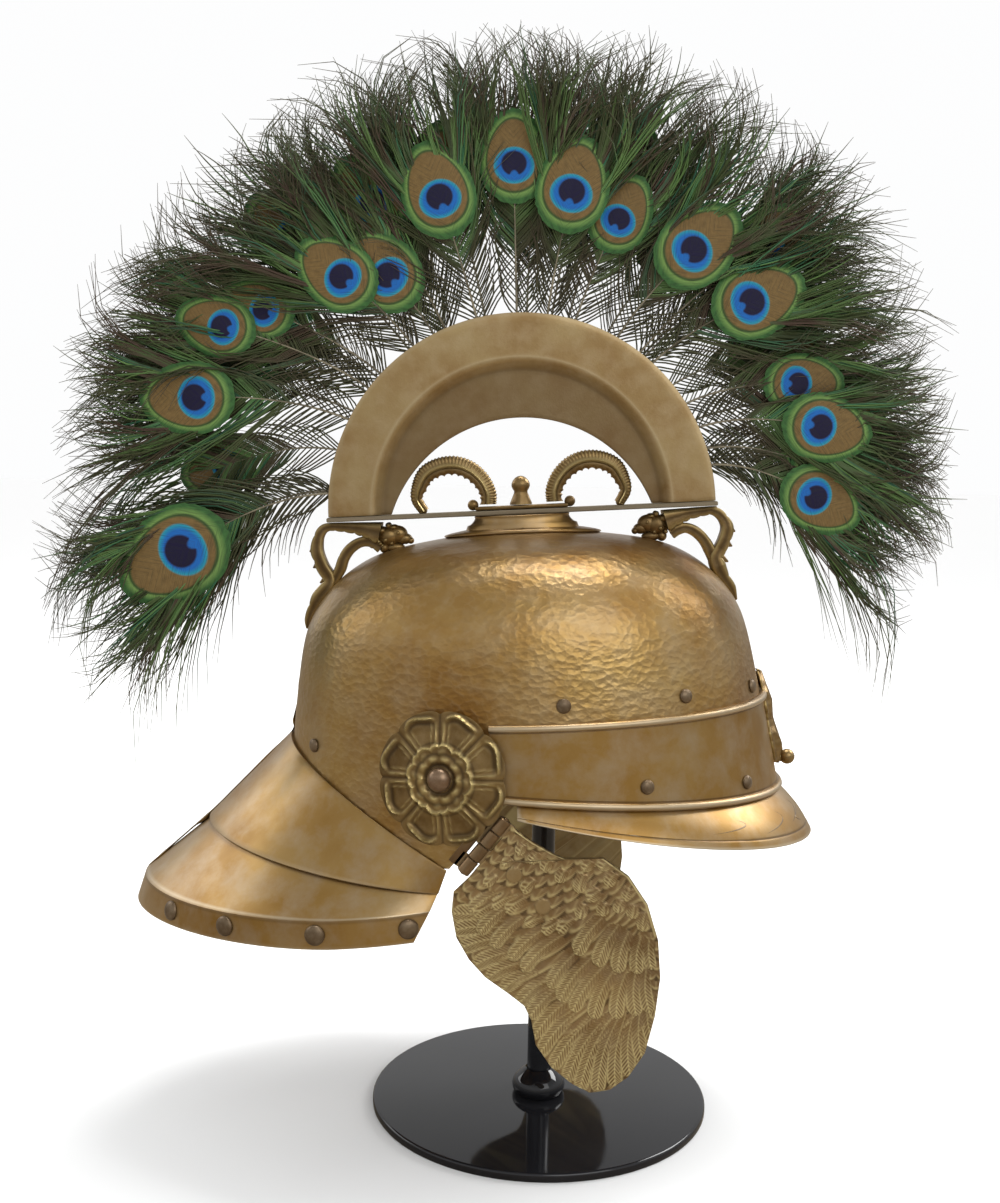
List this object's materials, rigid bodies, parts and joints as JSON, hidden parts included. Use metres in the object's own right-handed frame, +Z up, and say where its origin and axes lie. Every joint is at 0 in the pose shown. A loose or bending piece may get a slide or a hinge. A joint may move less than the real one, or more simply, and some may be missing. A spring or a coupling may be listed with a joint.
{
  "type": "centurion helmet on a display stand",
  "caption": "Brass parade helmet with hinged wing cheek-pieces, flared neck guard and an arched fore-and-aft feather crest, held on a plain round stand",
  "frame": {"origin": "centre of the underside of the stand's round base, on the floor", "axes": "+X towards the wearer's front, +Y to the wearer's left, +Z up"},
  "size_m": [0.5255, 0.2376, 0.636],
  "materials": {
    "hammered_brass": "hand-hammered, warm brown patina",
    "smooth_brass": "dull brushed sheet with brown patina",
    "cast_brass": "cast relief, dark in the hollows and rubbed bright on the ridges",
    "dark_brass": "dark aged brass",
    "black_enamel": "gloss black enamel",
    "feather_green": "iridescent green and bronze feathers"
  },
  "bodies": {
    "helmet": {"back_spine": "cast_brass", "brow_band": "smooth_brass", "brow_rivet_left_1": "dark_brass", "brow_rivet_left_2": "dark_brass", "brow_rivet_left_3": "dark_brass", "brow_rivet_left_4": "dark_brass", "brow_rivet_left_5": "dark_brass", "brow_rivet_right_1": "dark_brass", "brow_rivet_right_2": "dark_brass", "brow_rivet_right_3": "dark_brass", "brow_rivet_right_4": "dark_brass", "brow_rivet_right_5": "dark_brass", "crest_bar": "dark_brass", "crest_bracket_back": "cast_brass", "crest_bracket_front": "cast_brass", "crest_pedestal": "smooth_brass", "crest_plate_left": "smooth_brass", "crest_plate_right": "smooth_brass", "dome": "hammered_brass", "dome_rivet_left": "dark_brass", "dome_rivet_right": "dark_brass", "finial": "cast_brass", "front_emblem": "cast_brass", "guard_rivet_left_1": "dark_brass", "guard_rivet_left_2": "dark_brass", "guard_rivet_left_3": "dark_brass", "guard_rivet_left_4": "dark_brass", "guard_rivet_right_1": "dark_brass", "guard_rivet_right_2": "dark_brass", "guard_rivet_right_3": "dark_brass", "guard_rivet_right_4": "dark_brass", "hinge_leaf_left": "dark_brass", "hinge_leaf_right": "dark_brass", "hinge_pin_left": "dark_brass", "hinge_pin_right": "dark_brass", "neck_guard_lower": "smooth_brass", "neck_guard_upper": "smooth_brass", "plume_1": "feather_green", "plume_2": "feather_green", "plume_3": "feather_green", "plume_4": "feather_green", "plume_5": "feather_green", "plume_6": "feather_green", "plume_7": "feather_green", "rosette_left": "cast_brass", "rosette_right": "cast_brass", "rosette_stud_left": "dark_brass", "rosette_stud_right": "dark_brass", "scroll_handles": "cast_brass", "stand_base": "black_enamel", "stand_collar": "black_enamel", "stand_pad": "black_enamel", "stand_pole": "black_enamel", "visor": "smooth_brass"},
    "cheek_right": {"cheek_wing_right": "cast_brass"},
    "cheek_left": {"cheek_wing_left": "cast_brass"}
  },
  "joints": [
    {"name": "cheek_hinge_right", "type": "hinge", "parent": "helmet", "child": "cheek_right", "pos_m": [-0.03425, -0.1111, 0.18689], "axis": [-0.6184, 0, -0.7859], "range_deg": [-12, 95]},
    {"name": "cheek_hinge_left", "type": "hinge", "parent": "helmet", "child": "cheek_left", "pos_m": [-0.03425, 0.1111, 0.18689], "axis": [0.6184, 0, 0.7859], "range_deg": [-12, 95]}
  ]
}
